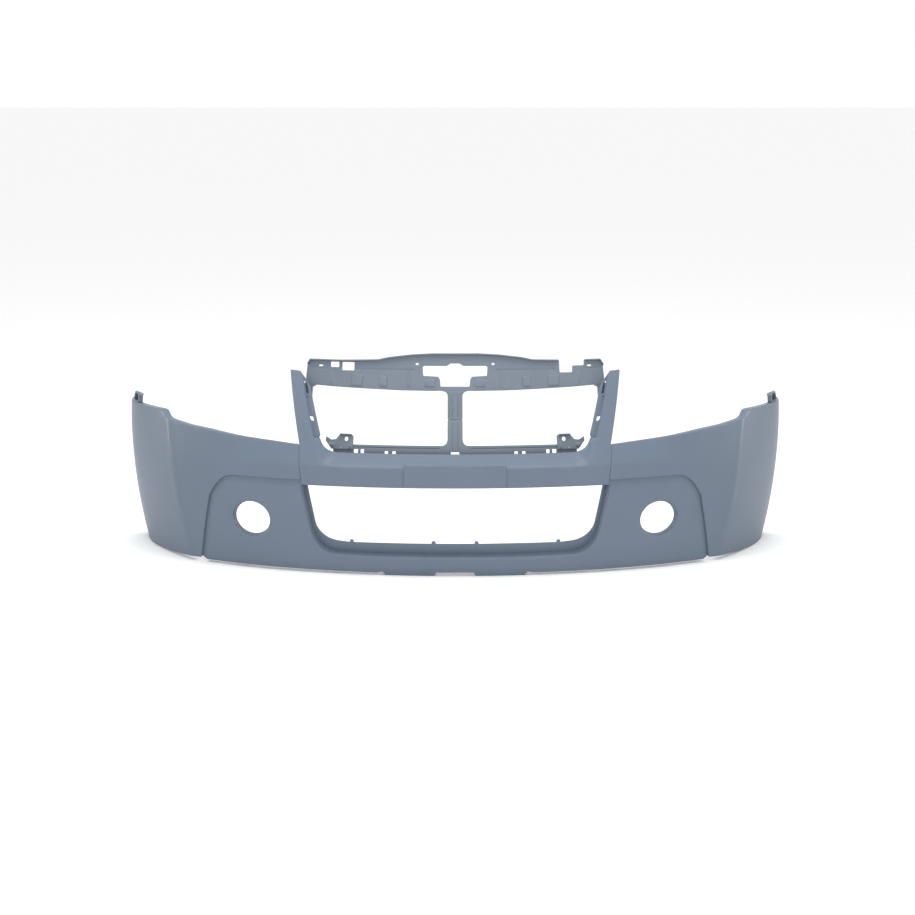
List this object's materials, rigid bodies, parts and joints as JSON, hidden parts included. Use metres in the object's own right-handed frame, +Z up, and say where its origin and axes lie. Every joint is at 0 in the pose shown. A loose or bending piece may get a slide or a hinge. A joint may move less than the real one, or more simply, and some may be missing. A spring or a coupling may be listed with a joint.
{
  "type": "front bumper cover",
  "caption": "Moulded front bumper cover with a grille frame, number plate plinth, fog lamp pods, a lower air intake and wings that wrap round to the wheel arches.",
  "frame": {"origin": "middle of the footprint, on the plane the cover stands on", "axes": "+Z up, X across the car, -Y towards the front of the car, +X is the right-hand side seen from the front"},
  "size_m": [1.7358, 0.5016, 0.5459],
  "materials": {
    "primed_plastic": "satin, primed blue-grey",
    "frame_plastic": "matt, primed grey",
    "black_nylon": "moulded, unpainted",
    "zinc_steel": "zinc plated"
  },
  "bodies": {
    "cover": {"wing_left": "primed_plastic", "wing_right": "primed_plastic", "centre_fascia": "primed_plastic", "lower_valance": "primed_plastic", "fog_lamp_ring_left": "frame_plastic", "fog_lamp_ring_right": "frame_plastic", "header_panel": "frame_plastic", "grille_rail": "frame_plastic", "grille_bracket_left": "frame_plastic", "grille_bracket_right": "frame_plastic", "plate_plinth": "primed_plastic", "side_retainer_left": "frame_plastic", "side_retainer_right": "frame_plastic", "lap_screw_left_1": "zinc_steel", "lap_screw_left_2": "zinc_steel", "lap_screw_left_3": "zinc_steel", "lap_screw_left_4": "zinc_steel", "fog_screw_left_1": "zinc_steel", "fog_screw_left_2": "zinc_steel", "fog_screw_left_3": "zinc_steel", "seam_screw_left_1": "zinc_steel", "seam_screw_left_2": "zinc_steel", "bracket_screw_left": "zinc_steel", "retainer_screw_left_1": "zinc_steel", "retainer_screw_left_2": "zinc_steel", "lap_screw_right_1": "zinc_steel", "lap_screw_right_2": "zinc_steel", "lap_screw_right_3": "zinc_steel", "lap_screw_right_4": "zinc_steel", "fog_screw_right_1": "zinc_steel", "fog_screw_right_2": "zinc_steel", "fog_screw_right_3": "zinc_steel", "seam_screw_right_1": "zinc_steel", "seam_screw_right_2": "zinc_steel", "bracket_screw_right": "zinc_steel", "retainer_screw_right_1": "zinc_steel", "retainer_screw_right_2": "zinc_steel", "rail_screw_1": "zinc_steel", "rail_screw_2": "zinc_steel", "rail_screw_3": "zinc_steel", "rail_screw_4": "zinc_steel", "plinth_screw_1": "zinc_steel", "plinth_screw_2": "zinc_steel", "strut_screw_1": "zinc_steel", "strut_screw_2": "zinc_steel", "spring_nut_1": "zinc_steel", "spring_nut_2": "zinc_steel", "spring_nut_3": "zinc_steel", "spring_nut_4": "zinc_steel", "clip_body_left_1": "black_nylon", "clip_body_left_2": "black_nylon", "clip_body_right_1": "black_nylon", "clip_body_right_2": "black_nylon"},
    "pin_left_1": {"clip_pin_left_1": "black_nylon"},
    "pin_left_2": {"clip_pin_left_2": "black_nylon"},
    "pin_right_1": {"clip_pin_right_1": "black_nylon"},
    "pin_right_2": {"clip_pin_right_2": "black_nylon"}
  },
  "joints": [
    {"name": "pin_left_1_slide", "type": "slide", "parent": "cover", "child": "pin_left_1", "axis": [0.2496, 0.9375, -0.2425], "range_m": [0, 0.006]},
    {"name": "pin_left_2_slide", "type": "slide", "parent": "cover", "child": "pin_left_2", "axis": [0.2496, 0.9375, -0.2425], "range_m": [0, 0.006]},
    {"name": "pin_right_1_slide", "type": "slide", "parent": "cover", "child": "pin_right_1", "axis": [-0.2496, 0.9375, -0.2425], "range_m": [0, 0.006]},
    {"name": "pin_right_2_slide", "type": "slide", "parent": "cover", "child": "pin_right_2", "axis": [-0.2496, 0.9375, -0.2425], "range_m": [0, 0.006]}
  ]
}
